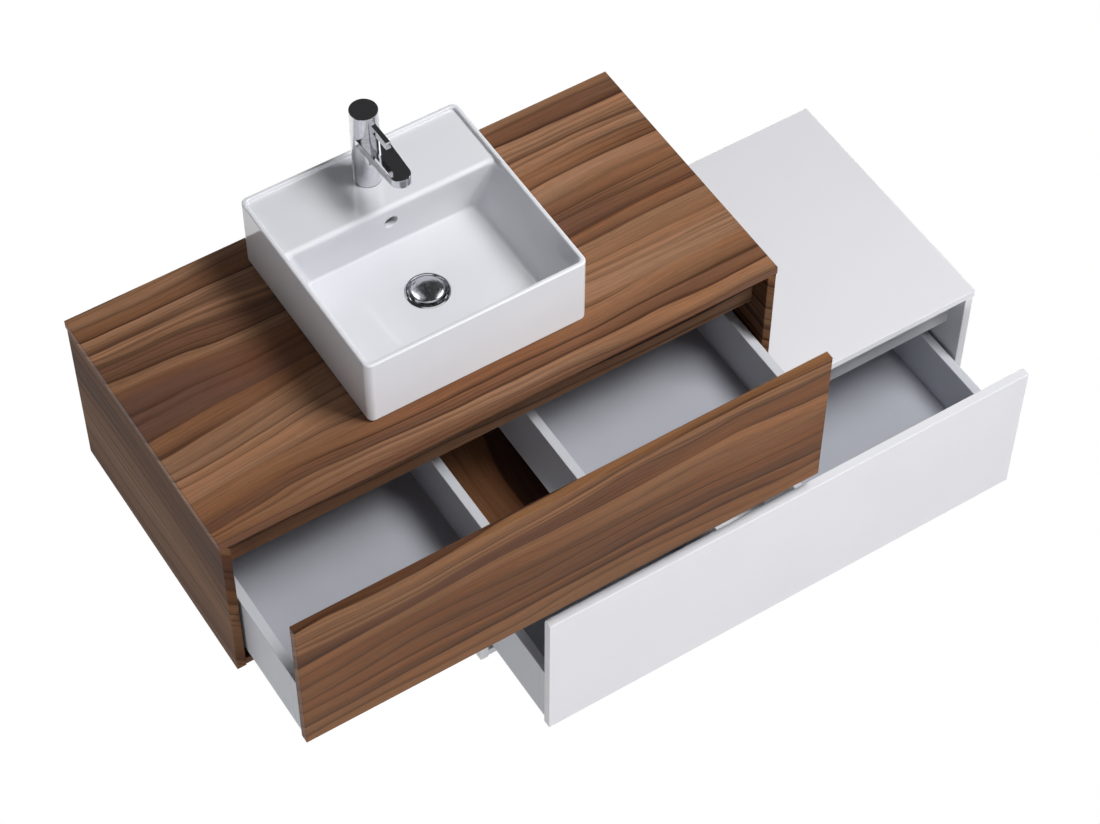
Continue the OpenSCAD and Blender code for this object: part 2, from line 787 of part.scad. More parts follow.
module tap_body() {
    color(chrome_grey) at_tap() difference() {
        union() {
            translate([0, 0, gasket_t]) cylinder(r = tap_r, h = tap_body_h);
            along_spout() {
                spout_bar(0, spout_edge, spout_t - spout_edge);
                spout_bar(spout_edge, 0, spout_t);
            }
        }
        translate([0, 0, tap_top]) cylinder(r = tap_r + cap_clear, h = spout_t);
        along_spout() translate([0, -spout_reach + spout_end_r, -over])
            cylinder(r = aerator_r + seat_gap, h = aerator_in + seat_gap + over);
        for (x = [-hose_x, hose_x]) translate([x, hose_y, gasket_t - over]) cylinder(r = hose_r, h = hose_depth + over);
        translate([0, stud_y, gasket_t - over]) cylinder(r = stud_r + seat_gap, h = stud_in + seat_gap + over);
    }
}

module tap_gasket() {
    color([0.12, 0.12, 0.13]) at_tap() difference() {
        cylinder(r = tap_r, h = gasket_t);
        translate([0, 0, -over]) cylinder(r = gasket_bore_r, h = gasket_t + 2 * over);
    }
}

// Stud, horseshoe plate and nut that hold the tap down from under the deck
module tap_clamp() {
    plate_z = -ceramic_t - clamp_t;
    nut_z = plate_z - clamp_nut_h;
    color([0.75, 0.6, 0.35]) at_tap() {
        translate([0, stud_y, gasket_t + stud_in - stud_l]) cylinder(r = stud_r, h = stud_l);
        translate([0, 0, plate_z]) difference() {
            cylinder(r = clamp_r, h = clamp_t);
            translate([0, stud_y, -over]) cylinder(r = stud_r + seat_gap, h = clamp_t + 2 * over);
            translate([0, hose_y, -over]) {
                for (x = [-hose_x, hose_x]) translate([x, 0, 0]) cylinder(r = hose_r + over, h = clamp_t + 2 * over);
                translate([-hose_x - hose_r - over, -clamp_r, 0])
                    cube([2 * (hose_x + hose_r + over), clamp_r, clamp_t + 2 * over]);
            }
        }
        translate([0, stud_y, nut_z]) difference() {
            cylinder(r = clamp_nut_r, h = clamp_nut_h, $fn = 6);
            translate([0, 0, -over]) cylinder(r = stud_r + seat_gap, h = clamp_nut_h + 2 * over);
        }
    }
}

// The cap's pivot, in the cap's own frame: a bar across the tap's axis; grow widens it for its bores
module pivot_bar(grow) {
    translate([-pivot_end - grow, 0, pivot_rise]) rotate([0, 90, 0])
        cylinder(r = pivot_r + grow, h = 2 * (pivot_end + grow));
}

module tap_pivot_pin() {
    color(steel) at_tap() translate([0, 0, cap_base]) pivot_bar(0);
}

// Collar of the cartridge: it turns with the lever, inside the cap
module tap_collar() {
    color(steel) at_tap() difference() {
        translate([0, 0, tap_top + collar_gap]) {
            cylinder(r = collar_r, h = collar_h - collar_edge);
            translate([0, 0, collar_h - collar_edge])
                cylinder(r1 = collar_r, r2 = collar_r - collar_edge, h = collar_edge);
        }
        translate([0, 0, cap_base]) pivot_bar(seat_gap);
    }
}

// The lever's side outline, swept across its width; grow widens it for the slot in the cap
module lever_bar(grow) {
    at_tap() translate([0, 0, cap_base + cap_h - lever_top_drop]) rotate([-lever_rise, 0, 0])
        translate([-lever_t / 2 - grow, 0, 0]) rotate([90, 0, 90]) linear_extrude(lever_t + 2 * grow) polygon([
            [-tap_r + lever_root_in + grow, -lever_h - grow], [-tap_r + lever_root_in + grow, grow],
            [-tap_r - lever_l + lever_end, grow], [-tap_r - lever_l, -lever_end],
            [-tap_r - lever_l, -lever_h + lever_end], [-tap_r - lever_l + lever_end, -lever_h - grow]
        ]);
}

// Hollow cap: its lower edge is cut away at the back, so that it can tilt
module tap_cap() {
    color(chrome_grey) difference() {
        at_tap() translate([0, 0, cap_base]) difference() {
            union() {
                cylinder(r = tap_r, h = cap_h - cap_edge);
                translate([0, 0, cap_h - cap_edge]) cylinder(r1 = tap_r, r2 = tap_r - cap_edge, h = cap_edge);
            }
            translate([0, 0, -over]) cylinder(r = tap_r - cap_wall, h = cap_h - cap_top_t + over);
            translate([0, 0, pivot_rise]) rotate([lever_lift + lift_spare, 0, 0])
                translate([-tap_r - over, -2 * tap_r, -pivot_rise - 2 * tap_r])
                    cube([2 * (tap_r + over), 4 * tap_r, 2 * tap_r]);
            pivot_bar(seat_gap);
        }
        lever_bar(seat_gap);
    }
}

module tap_lever() {
    color(chrome_grey) lever_bar(0);
}

module tap_aerator() {
    color(steel) at_tap() along_spout() translate([0, -spout_reach + spout_end_r, aerator_in - aerator_h]) difference() {
        cylinder(r = aerator_r, h = aerator_h);
        translate([0, 0, -over]) cylinder(r = aerator_bore_r, h = aerator_bore_depth + over);
    }
}

// One module per node
module upper_top_board() in_unit(UPPER) top_board(UPPER);
module upper_left_side() in_unit(UPPER) side_board(UPPER, LEFT);
module upper_right_side() in_unit(UPPER) side_board(UPPER, RIGHT);
module upper_bottom_board() in_unit(UPPER) bottom_board(UPPER);
module upper_front_rail() in_unit(UPPER) front_rail(UPPER);
module upper_hanging_rail() in_unit(UPPER) hanging_rail(UPPER);
module upper_wall_rail() in_unit(UPPER) wall_rail();
module upper_cabinet_runners() in_unit(UPPER) cabinet_runners();
module upper_middle_runners() in_unit(UPPER) middle_runners();
module upper_drawer_runners() in_unit(UPPER) drawer_runners();
module upper_drawer_front() in_unit(UPPER) drawer_front(UPPER);
module upper_drawer_subfront() in_unit(UPPER) drawer_subfront();
module upper_left_box_outer_wall() in_unit(UPPER) outer_wall(LEFT);
module upper_left_box_inner_wall() in_unit(UPPER) inner_wall(LEFT);
module upper_left_box_back() in_unit(UPPER) box_back(LEFT);
module upper_left_box_floor() in_unit(UPPER) box_floor(LEFT);
module upper_right_box_inner_wall() in_unit(UPPER) inner_wall(RIGHT);
module upper_right_box_outer_wall() in_unit(UPPER) outer_wall(RIGHT);
module upper_right_box_back() in_unit(UPPER) box_back(RIGHT);
module upper_right_box_floor() in_unit(UPPER) box_floor(RIGHT);
module upper_front_screws() in_unit(UPPER) front_screws();
module upper_runner_catches() in_unit(UPPER) runner_catches();
module lower_top_board() in_unit(LOWER) top_board(LOWER);
module lower_left_side() in_unit(LOWER) side_board(LOWER, LEFT);
module lower_right_side() in_unit(LOWER) side_board(LOWER, RIGHT);
module lower_bottom_board() in_unit(LOWER) bottom_board(LOWER);
module lower_front_rail() in_unit(LOWER) front_rail(LOWER);
module lower_hanging_rail() in_unit(LOWER) hanging_rail(LOWER);
module lower_wall_rail() in_unit(LOWER) wall_rail();
module lower_cabinet_runners() in_unit(LOWER) cabinet_runners();
module lower_middle_runners() in_unit(LOWER) middle_runners();
module lower_drawer_runners() in_unit(LOWER) drawer_runners();
module lower_drawer_front() in_unit(LOWER) drawer_front(LOWER);
module lower_drawer_subfront() in_unit(LOWER) drawer_subfront();
module lower_left_box_outer_wall() in_unit(LOWER) outer_wall(LEFT);
module lower_left_box_inner_wall() in_unit(LOWER) inner_wall(LEFT);
module lower_left_box_back() in_unit(LOWER) box_back(LEFT);
module lower_left_box_floor() in_unit(LOWER) box_floor(LEFT);
module lower_right_box_inner_wall() in_unit(LOWER) inner_wall(RIGHT);
module lower_right_box_outer_wall() in_unit(LOWER) outer_wall(RIGHT);
module lower_right_box_back() in_unit(LOWER) box_back(RIGHT);
module lower_right_box_floor() in_unit(LOWER) box_floor(RIGHT);
module lower_front_screws() in_unit(LOWER) front_screws();
module lower_runner_catches() in_unit(LOWER) runner_catches();

upper_top_board();
upper_left_side();
upper_right_side();
upper_bottom_board();
upper_front_rail();
upper_hanging_rail();
upper_wall_rail();
upper_cabinet_runners();
upper_middle_runners();
upper_drawer_runners();
upper_drawer_front();
upper_drawer_subfront();
upper_left_box_outer_wall();
upper_left_box_inner_wall();
upper_left_box_back();
upper_left_box_floor();
upper_right_box_inner_wall();
upper_right_box_outer_wall();
upper_right_box_back();
upper_right_box_floor();
upper_front_screws();
upper_runner_catches();
lower_top_board();
lower_left_side();
lower_right_side();
lower_bottom_board();
lower_front_rail();
lower_hanging_rail();
lower_wall_rail();
lower_cabinet_runners();
lower_middle_runners();
lower_drawer_runners();
lower_drawer_front();
lower_drawer_subfront();
lower_left_box_outer_wall();
lower_left_box_inner_wall();
lower_left_box_back();
lower_left_box_floor();
lower_right_box_inner_wall();
lower_right_box_outer_wall();
lower_right_box_back();
lower_right_box_floor();
lower_front_screws();
lower_runner_catches();
cam_connectors();
cabinet_hangers();
basin();
waste_flange();
waste_plug();
waste_washer();
waste_nut();
tap_body();
tap_gasket();
tap_clamp();
tap_collar();
tap_pivot_pin();
tap_cap();
tap_lever();
tap_aerator();
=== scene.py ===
"""Wall-hung bathroom vanity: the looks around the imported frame.

All lengths are in metres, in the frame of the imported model: the origin is the middle of the upper cabinet's
row of wall bolts, Y runs into the wall and Z up.
"""
import json
import math

import bpy
import numpy as np
from mathutils import Euler, Matrix, Vector


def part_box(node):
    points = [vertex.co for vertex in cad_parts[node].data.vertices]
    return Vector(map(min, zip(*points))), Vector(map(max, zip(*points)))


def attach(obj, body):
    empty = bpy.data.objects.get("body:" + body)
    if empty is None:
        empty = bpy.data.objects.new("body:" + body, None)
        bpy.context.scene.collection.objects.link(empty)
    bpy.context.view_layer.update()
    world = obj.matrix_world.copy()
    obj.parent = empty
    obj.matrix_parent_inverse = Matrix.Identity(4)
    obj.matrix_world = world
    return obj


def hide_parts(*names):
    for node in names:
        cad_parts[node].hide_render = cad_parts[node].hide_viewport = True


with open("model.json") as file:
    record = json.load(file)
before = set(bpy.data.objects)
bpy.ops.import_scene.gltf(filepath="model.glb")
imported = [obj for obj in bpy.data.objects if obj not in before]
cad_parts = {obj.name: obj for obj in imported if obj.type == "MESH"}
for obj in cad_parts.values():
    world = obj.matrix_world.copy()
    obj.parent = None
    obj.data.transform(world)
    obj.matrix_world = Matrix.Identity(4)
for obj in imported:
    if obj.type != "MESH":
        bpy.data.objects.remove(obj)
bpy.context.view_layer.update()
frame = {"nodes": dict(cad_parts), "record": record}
NODES = frame["nodes"]
MM = 0.001

# ---------------------------------------------------------------- camera, as fitted to the photograph

IMAGE_W = 1100
CAMERA_AT = (-1.4506, -2.8783, 3.7146)
CAMERA_YAW, CAMERA_PITCH, CAMERA_ROLL = 32.687, 52.809, 0.429
FOCAL_PX = 3018.9
SENSOR_MM = 36.0
CLIP_NEAR, CLIP_FAR = 0.05, 60


def make_camera():
    cam = bpy.data.cameras.new("view")
    cam.sensor_width = SENSOR_MM
    cam.lens = FOCAL_PX / IMAGE_W * SENSOR_MM
    cam.clip_start, cam.clip_end = CLIP_NEAR, CLIP_FAR
    obj = bpy.data.objects.new("view", cam)
    obj.location = CAMERA_AT
    aim = Euler((math.radians(90 - CAMERA_PITCH), 0, math.radians(-CAMERA_YAW))).to_matrix()
    obj.rotation_euler = (aim @ Matrix.Rotation(math.radians(CAMERA_ROLL), 3, "Z")).to_euler()
    bpy.context.scene.collection.objects.link(obj)
    bpy.context.scene.camera = obj


make_camera()

# ---------------------------------------------------------------- colours and node helpers


def lin(r, g, b):
    """A display colour, 0 to 255, as the linear colour that a shader takes."""
    out = []
    for v in (r, g, b):
        v /= 255
        out.append(v / 12.92 if v <= 0.04045 else ((v + 0.055) / 1.055) ** 2.4)
    return (*out, 1.0)


class Nodes:
    """Short names for building the node tree of a material or of the world."""

    def __init__(self, owner):
        owner.use_nodes = True
        self.owner = owner
        self.tree = owner.node_tree
        self.bsdf = self.tree.nodes.get("Principled BSDF")

    def add(self, kind, **settings):
        node = self.tree.nodes.new(kind)
        for key, value in settings.items():
            setattr(node, key, value)
        return node

    def link(self, a, b):
        self.tree.links.new(a, b)

    def feed(self, slot, value):
        """Give an input a fixed value, or the output of another node."""
        if isinstance(value, (int, float, tuple)):
            slot.default_value = value
        else:
            self.link(value, slot)

    def set(self, **values):
        for key, value in values.items():
            self.bsdf.inputs[key.replace("_", " ")].default_value = value

    def coords(self):
        return self.add("ShaderNodeTexCoord").outputs["Object"]

    def stretched(self, source, scale, offset=(0, 0, 0)):
        node = self.add("ShaderNodeMapping")
        node.inputs["Scale"].default_value = scale
        node.inputs["Location"].default_value = offset
        self.link(source, node.inputs["Vector"])
        return node.outputs["Vector"]

    def noise(self, source, scale, detail, roughness, offset=(0, 0, 0)):
        """Noise over coordinates in metres, with its scale given for each axis."""
        node = self.add("ShaderNodeTexNoise")
        for key, value in (("Scale", 1.0), ("Detail", detail), ("Roughness", roughness)):
            node.inputs[key].default_value = value
        self.link(self.stretched(source, scale, offset), node.inputs["Vector"])
        return node.outputs["Fac"]

    def ramp(self, fac, stops):
        """A colour ramp from (place, colour) stops; a bare number stands for a grey."""
        node = self.add("ShaderNodeValToRGB")
        elements = node.color_ramp.elements
        while len(elements) < len(stops):
            elements.new(0.5)
        for element, (place, colour) in zip(elements, stops):
            element.position = place
            element.color = colour if isinstance(colour, tuple) else (colour, colour, colour, 1.0)
        self.link(fac, node.inputs["Fac"])
        return node.outputs["Color"]

    def math(self, op, *terms):
        node = self.add("ShaderNodeMath", operation=op)
        for slot, value in zip(node.inputs, terms):
            self.feed(slot, value)
        return node.outputs[0]

    def mix(self, fac, a, b, blend="MIX"):
        node = self.add("ShaderNodeMix", data_type="RGBA", blend_type=blend)
        for slot, value in ((0, fac), (6, a), (7, b)):
            self.feed(node.inputs[slot], value)
        return node.outputs[2]

    def vary(self, slot, noise, low, high):
        """Let a noise move one slot of the shader between two values."""
        self.link(self.ramp(noise, [(0.3, low), (0.7, high)]), self.bsdf.inputs[slot])

    def bump(self, height, strength, distance):
        node = self.add("ShaderNodeBump")
        node.inputs["Strength"].default_value = strength
        node.inputs["Distance"].default_value = distance
        self.link(height, node.inputs["Height"])
        self.link(node.outputs["Normal"], self.bsdf.inputs["Normal"])


def new_material(name):
    return Nodes(bpy.data.materials.new(name))


# ---------------------------------------------------------------- walnut laminate

# Stops by place within a growth ring, 0 to 1: how dark its edge is, the same for the fine rings that come in
# bundles, and how bright the wood is
RING_EDGE = ((0.0, 1.0), (0.11, 0.97), (0.15, 0.50), (0.30, 0.22), (0.55, 0.0), (0.960, 0.0), (0.975, 0.9),
             (1.0, 1.0))
FINE_RING_EDGE = ((0.0, 1.0), (0.15, 0.9), (0.40, 0.2), (0.6, 0.0), (0.86, 0.0), (0.95, 1.0))
RING_LIFT = ((0.0, 0.90), (0.35, 0.97), (0.80, 1.10), (0.97, 1.06))

# Display colours that a ring may have, and those of the two kinds of edge with how far they cover the wood
RING_COLOURS = ((0.36, (99, 69, 56)), (0.50, (112, 76, 54)), (0.62, (127, 87, 60)), (0.74, (137, 99, 72)),
                (0.90, (150, 110, 82)))
EDGE_COLOUR, EDGE_COVER = (52, 31, 21), 0.95
FINE_EDGE_COLOUR, FINE_EDGE_COVER = (68, 44, 31), 0.62
WOOD_SHADE = 0.96
WARM_PATCH = (1.07, 0.97, 0.88, 1.0)

FINE_PITCH = 112.0  # fine rings in a metre
DEPTH_SHARE = 0.4  # how fast the figure changes with depth, beside across the grain
SLOW_WAVE, RIPPLE = 0.125, 0.0045  # heights of the rings' longest and shortest waves
WOOD_BUMP, BUMP_DEPTH = 0.10, 0.2 * MM


def walnut(name, along, shade=1.0, shift=(0, 0, 0), tone=(1.0, 1.0, 1.0), pitch=33.0, even=0.25, sway=0.022,
           sheen=0.10):
    """Walnut laminate with its grain along one axis: growth rings, each with one sharp dark edge.

    shade and tone scale the colours, and shift moves the board to another place in the wood. pitch is the
    number of rings in a metre, even the least share of an edge's darkness on any ring, sway how far in metres
    the rings wave, and sheen the specular level."""
    n = new_material(name)
    split = n.add("ShaderNodeSeparateXYZ")
    n.link(n.stretched(n.coords(), (1, 1, 1), shift), split.inputs[0])
    x, y, z = split.outputs
    if along == "Y":
        x, y = y, x
    across = n.math("ADD", y, z)
    depth = n.math("MULTIPLY", n.math("SUBTRACT", y, z), DEPTH_SHARE)

    def at(level):
        node = n.add("ShaderNodeCombineXYZ")
        for slot, value in zip(node.inputs, (x, level, depth)):
            n.link(value, slot)
        return node.outputs[0]

    def field(source, scale, seed, detail=2.0, roughness=0.5):
        """Noise with its scale along and across the grain."""
        return n.noise(source, (*scale, 1), detail, roughness, seed)

    # the rings run a little off the board's length, in slow waves that squeeze and open them
    board = at(across)
    level = across
    for scale, seed, roughness, height in (((1.15, 4.6), (0, 0, 0), 0.45, SLOW_WAVE),
                                           ((3.2, 14.0), (4, 7, 1), 0.45, sway),
                                           ((9.0, 34.0), (5, 2, 3), 0.5, RIPPLE)):
        wave = field(board, scale, seed, roughness=roughness)
        level = n.math("MULTIPLY_ADD", wave, height, level)
    figure = at(level)

    def rings(count, uneven, seed):
        """Place within each ring, 0 to 1, and random numbers that stay the same along it."""
        drift = field(figure, (0.5, 0.55 * count), seed, 1.0)
        place = n.math("MULTIPLY_ADD", drift, uneven, n.math("MULTIPLY", level, count))
        lot = n.add("ShaderNodeTexWhiteNoise", noise_dimensions="1D")
        n.link(n.math("FLOOR", place), lot.inputs["W"])
        return n.math("FRACT", place), lot

    place, lot = rings(pitch, 2.2, (3, 1, 2))
    channels = n.add("ShaderNodeSeparateColor")
    n.link(lot.outputs["Color"], channels.inputs[0])
    for_colour, for_edge, for_lift = channels.outputs
    presence = n.ramp(field(board, (1.7, 11.0), (7, 3, 5), 1.0), ((0.34, 0.2), (0.46, 1.0)))
    strength = n.math("MULTIPLY", n.math("MULTIPLY_ADD", for_edge, 1.0 - even, even), presence)
    edge = n.math("MULTIPLY", n.ramp(place, RING_EDGE), strength)

    fine_place, fine_lot = rings(FINE_PITCH, 1.6, (6, 4, 9))
    bundle = n.ramp(field(figure, (1.2, 11.0), (9, 2, 6)), ((0.44, 0.0), (0.58, 1.0)))
    fine_edge = n.math("MULTIPLY", n.ramp(fine_place, FINE_RING_EDGE), bundle)
    fine_edge = n.math("MULTIPLY", fine_edge, fine_lot.outputs["Value"])

    def paint(rgb):
        return lin(*(min(255, WOOD_SHADE * shade * v * t) for v, t in zip(rgb, tone)))

    # each ring takes its own colour, drifting along the board
    drift = field(figure, (1.1, 7.0), (1, 8, 4))
    choice = n.math("MULTIPLY_ADD", for_colour, 0.55, n.math("MULTIPLY", drift, 0.9))
    colour = n.ramp(choice, [(spot, paint(rgb)) for spot, rgb in RING_COLOURS])
    warmth = n.ramp(field(board, (2.6, 21.0), (2, 5, 7)), ((0.42, 1.0), (0.66, WARM_PATCH)))
    colour = n.mix(1.0, colour, warmth, "MULTIPLY")
    lifted = n.mix(1.0, colour, n.ramp(place, RING_LIFT), "MULTIPLY")
    colour = n.mix(n.math("MULTIPLY_ADD", for_lift, 0.6, 0.4), colour, lifted)

    # streaks, hair-fine lines and pores, each with its share and its brightness, then the dark edges
    streak = field(figure, (2.2, 150), (1, 5, 3), 3.0, 0.55)
    hair = field(figure, (7.0, 520), (2, 2, 8), 2.0, 0.6)
    pores = n.noise(figure, (34, 1500, 500), 2.0, 0.6)
    for texture, share, stops in ((streak, 0.8, ((0.32, 0.88), (0.50, 1.0), (0.68, 1.07))),
                                  (hair, 0.85, ((0.32, 0.80), (0.50, 1.0), (0.68, 1.13))),
                                  (pores, 0.7, ((0.36, 0.78), (0.50, 1.0), (0.66, 1.08)))):
        colour = n.mix(share, colour, n.ramp(texture, stops), "MULTIPLY")
    for line, cover, rgb in ((edge, EDGE_COVER, EDGE_COLOUR), (fine_edge, FINE_EDGE_COVER, FINE_EDGE_COLOUR)):
        colour = n.mix(n.math("MULTIPLY", line, cover), colour, paint(rgb))
    n.link(colour, n.bsdf.inputs["Base Color"])
    n.vary("Roughness", pores, 0.52, 0.44)
    n.set(Specular_IOR_Level=sheen)
    n.bump(hair, WOOD_BUMP, BUMP_DEPTH)
    return n.owner


# ---------------------------------------------------------------- the other materials

POLISHED_BELOW = 0.1  # a metal less rough than this shows no marks
METAL_MOTTLING = 10
PLATED_MARKS = (120, 120, 120)


def coated(name, colour, rough, mottling, grain=0.05):
    """Satin board: an even coat over a faint texture."""
    n = new_material(name)
    src = n.coords()
    n.vary("Base Color", n.noise(src, (6, 6, 6), 3.0, 0.5), lin(*(v - mottling for v in colour)), lin(*colour))
    fine = n.noise(src, (900, 900, 900), 2.0, 0.5)
    n.vary("Roughness", fine, rough - 0.04, rough + 0.04)
    n.bump(fine, grain, BUMP_DEPTH)
    return n.owner


def ceramic(name):
    """White glaze, a little wavy, with a clear coat."""
    n = new_material(name)
    src = n.coords()
    n.vary("Base Color", n.noise(src, (4, 4, 4), 2.0, 0.5), lin(213, 214, 219), lin(218, 219, 223))
    wave = n.noise(src, (9, 9, 9), 1.0, 0.4)
    n.vary("Roughness", wave, 0.10, 0.15)
    n.set(Specular_IOR_Level=0.5, Coat_Weight=0.4, Coat_Roughness=0.04)
    n.bump(wave, 0.12, 2 * MM)
    return n.owner


def metal(name, colour, rough, marks=PLATED_MARKS):
    """Plated or brushed metal; marks is the scale of its marks along each axis."""
    n = new_material(name)
    cloud = n.noise(n.coords(), marks, 3.0, 0.6)
    n.vary("Base Color", cloud, lin(*(v - METAL_MOTTLING for v in colour)), lin(*colour))
    polished = rough < POLISHED_BELOW
    n.vary("Roughness", cloud, rough, rough + (0.02 if polished else 0.08))
    n.set(Metallic=1.0)
    if not polished:
        n.bump(cloud, 0.05, BUMP_DEPTH)
    return n.owner


def moulded(name, colour, rough):
    """Plastic or rubber with a fine moulded grain."""
    n = new_material(name)
    fine = n.noise(n.coords(), (700, 700, 700), 3.0, 0.6)
    n.vary("Base Color", fine, lin(*(v * 0.9 for v in colour)), lin(*colour))
    n.vary("Roughness", fine, rough - 0.05, rough + 0.05)
    n.bump(fine, 0.2, 0.3 * MM)
    return n.owner


WALNUT_X = walnut("walnut_along", "X", 1.01, tone=(1.0, 1.03, 1.07))
# the drawer front: a darker, cooler copy of the top's walnut, whose lower shade is painted shade on the front
WALNUT_FRONT_PAINTED_SHADE = walnut("walnut_front_painted_shade", "X", 0.88, shift=(1.7, 0.4, 0.23), tone=(1.0, 0.97, 0.90), pitch=31.0,
                      sway=0.036)
# the bottom board between the drawer boxes: its sparse grain is the board's own, its much lower shade is painted
# shade under the worktop
WALNUT_BOTTOM_PAINTED_SHADE = walnut("walnut_bottom_painted_shade", "Y", 0.74, shift=(0.9, 0.31, 0.4), tone=(1.0, 0.96, 0.92), pitch=14.0,
                       even=0.1)
# the cabinet sides: a darker copy of the walnut, whose lower shade is painted shade on the side faces
WALNUT_SIDE_PAINTED_SHADE = walnut("walnut_side_painted_shade", "Y", 0.84, shift=(0.3, 0.11, 0.05), tone=(1.0, 1.02, 1.02), even=0.5,
                  sheen=0.02)
WHITE = coated("white_laminate", (219, 219, 223), 0.34, 2)
DRAWER = coated("drawer_foil", (200, 202, 208), 0.5, 4, 0.15)
# the drawer floors: a darker copy of the drawer foil, painted shade where they lie under the cabinets
DRAWER_FLOOR_PAINTED_SHADE = coated("drawer_floor_painted_shade", (177, 179, 187), 0.55, 5, 0.15)
CERAMIC = ceramic("glazed_ceramic")
CHROME = metal("polished_chrome", (222, 222, 226), 0.05)
PLUG_CHROME = metal("satin_chrome", (226, 227, 231), 0.13)
RUNNER = metal("zinc_steel", (178, 182, 188), 0.32, (60, 700, 700))
FASTENER = metal("fastener_steel", (165, 168, 172), 0.3)
CATCH = moulded("catch_plastic", (92, 95, 100), 0.5)
RUBBER = moulded("seal_rubber", (34, 34, 36), 0.7)
BRASS = metal("turned_brass", (196, 160, 98), 0.25)

BY_SLOT = {"walnut_board": WALNUT_X, "white_board": WHITE, "drawer_board": DRAWER, "runner_steel": RUNNER,
           "fastener_steel": FASTENER, "catch_plastic": CATCH, "basin_ceramic": CERAMIC, "chrome": CHROME,
           "seal_rubber": RUBBER, "plain_brass": BRASS}
BY_NODE = {"upper_left_side": WALNUT_SIDE_PAINTED_SHADE, "upper_right_side": WALNUT_SIDE_PAINTED_SHADE, "upper_bottom_board": WALNUT_BOTTOM_PAINTED_SHADE,
           "upper_drawer_front": WALNUT_FRONT_PAINTED_SHADE, "waste_plug": PLUG_CHROME}
for unit in ("upper", "lower"):
    for side in ("left", "right"):
        BY_NODE[f"{unit}_{side}_box_floor"] = DRAWER_FLOOR_PAINTED_SHADE


def dress(obj, material):
    obj.data.materials.clear()
    obj.data.materials.append(material)


for sub in frame["record"]["subparts"]:
    dress(NODES[sub["node"]], BY_NODE.get(sub["node"], BY_SLOT[sub["material_slot"]]))

# ---------------------------------------------------------------- smooth pieces from distance fields

SLOPE_STEP = 0.02 * MM
PULLS, LONGEST_PULL, LEAST_SLOPE = 4, 2 * MM, 0.2


def part_of(slices):
    """An index into a 3-D array: a slice on each axis that slices names, and all of the others."""
    return tuple(slices.get(axis, slice(None)) for axis in range(3))


def neighbours(axis):
    """Indexes of each grid point and of the next one along an axis."""
    return part_of({axis: slice(0, -1)}), part_of({axis: slice(1, None)})


def surface(name, field, xs, ys, zs, material):
    """A mesh of the zero surface of a field, on a grid of lines that may be closer where the shape is fine.

    Each cell that the surface passes has one vertex, at the mean of the crossings on its edges, and each
    crossed grid edge has one face, between the four cells around it."""
    gx, gy, gz = np.meshgrid(xs, ys, zs, indexing="ij")
    value = field(gx, gy, gz)
    inside = value < 0
    points = np.stack([gx, gy, gz], -1)
    size = tuple(len(a) - 1 for a in (xs, ys, zs))
    count = np.zeros(size)
    total = np.zeros((*size, 3))
    for axis in range(3):
        low, high = neighbours(axis)
        u, v = (other for other in range(3) if other != axis)
        cross = inside[low] != inside[high]
        t = np.where(cross, value[low] / np.where(cross, value[low] - value[high], 1), 0)
        spot = points[low] + t[..., None] * (points[high] - points[low])
        for i in (0, 1):
            for j in (0, 1):
                cut = part_of({u: slice(i, i + size[u]), v: slice(j, j + size[v])})
                count += cross[cut]
                total += np.where(cross[cut][..., None], spot[cut], 0)
    used = count > 0
    index = np.full(size, -1)
    index[used] = np.arange(used.sum())
    verts = total[used] / count[used][:, None]

    def slope(p):
        out = np.empty_like(p)
        for k in range(3):
            d = np.zeros(3)
            d[k] = SLOPE_STEP
            out[:, k] = (field(*(p + d).T) - field(*(p - d).T)) / (2 * SLOPE_STEP)
        return out

    # pull the vertices onto the surface
    for _ in range(PULLS):
        g = slope(verts)
        far = field(*verts.T) / np.maximum((g * g).sum(1), LEAST_SLOPE)
        verts -= np.clip(far, -LONGEST_PULL, LONGEST_PULL)[:, None] * g

    quads = []
    for axis in range(3):
        low, high = neighbours(axis)
        u, v = (other for other in range(3) if other != axis)
        inner = part_of({u: slice(1, -1), v: slice(1, -1)})
        edges = np.argwhere((inside[low] != inside[high])[inner])
        starts_inside = inside[low][inner][tuple(edges.T)]
        corners = []
        for i, j in ((0, 0), (1, 0), (1, 1), (0, 1)):
            cell = edges.copy()
            cell[:, u] += i
            cell[:, v] += j
            corners.append(index[tuple(cell.T)])
        quad = np.stack(corners, 1)
        turned = starts_inside if axis == 1 else ~starts_inside
        quad[turned] = quad[turned][:, ::-1]
        quads.append(quad)
    mesh = bpy.data.meshes.new(name)
    mesh.from_pydata(verts.tolist(), [], np.concatenate(quads).tolist())
    mesh.validate()
    mesh.polygons.foreach_set("use_smooth", [True] * len(mesh.polygons))
    normal = slope(verts)
    normal /= np.maximum(np.linalg.norm(normal, axis=1), 1e-9)[:, None]
    mesh.normals_split_custom_set_from_vertices(normal.tolist())
    mesh.update()
    obj = bpy.data.objects.new(name, mesh)
    bpy.context.scene.collection.objects.link(obj)
    dress(obj, material)
    return obj


def round_and(a, b, r):
    """Where both fields are inside, with the edge rounded to r."""
    u = np.sqrt(np.maximum(r + a, 0) ** 2 + np.maximum(r + b, 0) ** 2)
    return np.minimum(-r, np.maximum(a, b)) + u


def plan(x, y, half_x, half_y, r):
    """A rectangle with rounded corners, seen from above."""
    qx, qy = np.abs(x) - half_x + r, np.abs(y) - half_y + r
    return np.hypot(np.maximum(qx, 0), np.maximum(qy, 0)) + np.minimum(np.maximum(qx, qy), 0) - r


def block(x, y, z, x_half, ys, zs):
    """A box from its half width and its spans in Y and Z."""
    return np.maximum(np.maximum(np.abs(x) - x_half, np.maximum(ys[0] - y, y - ys[1])),
                      np.maximum(zs[0] - z, z - zs[1]))


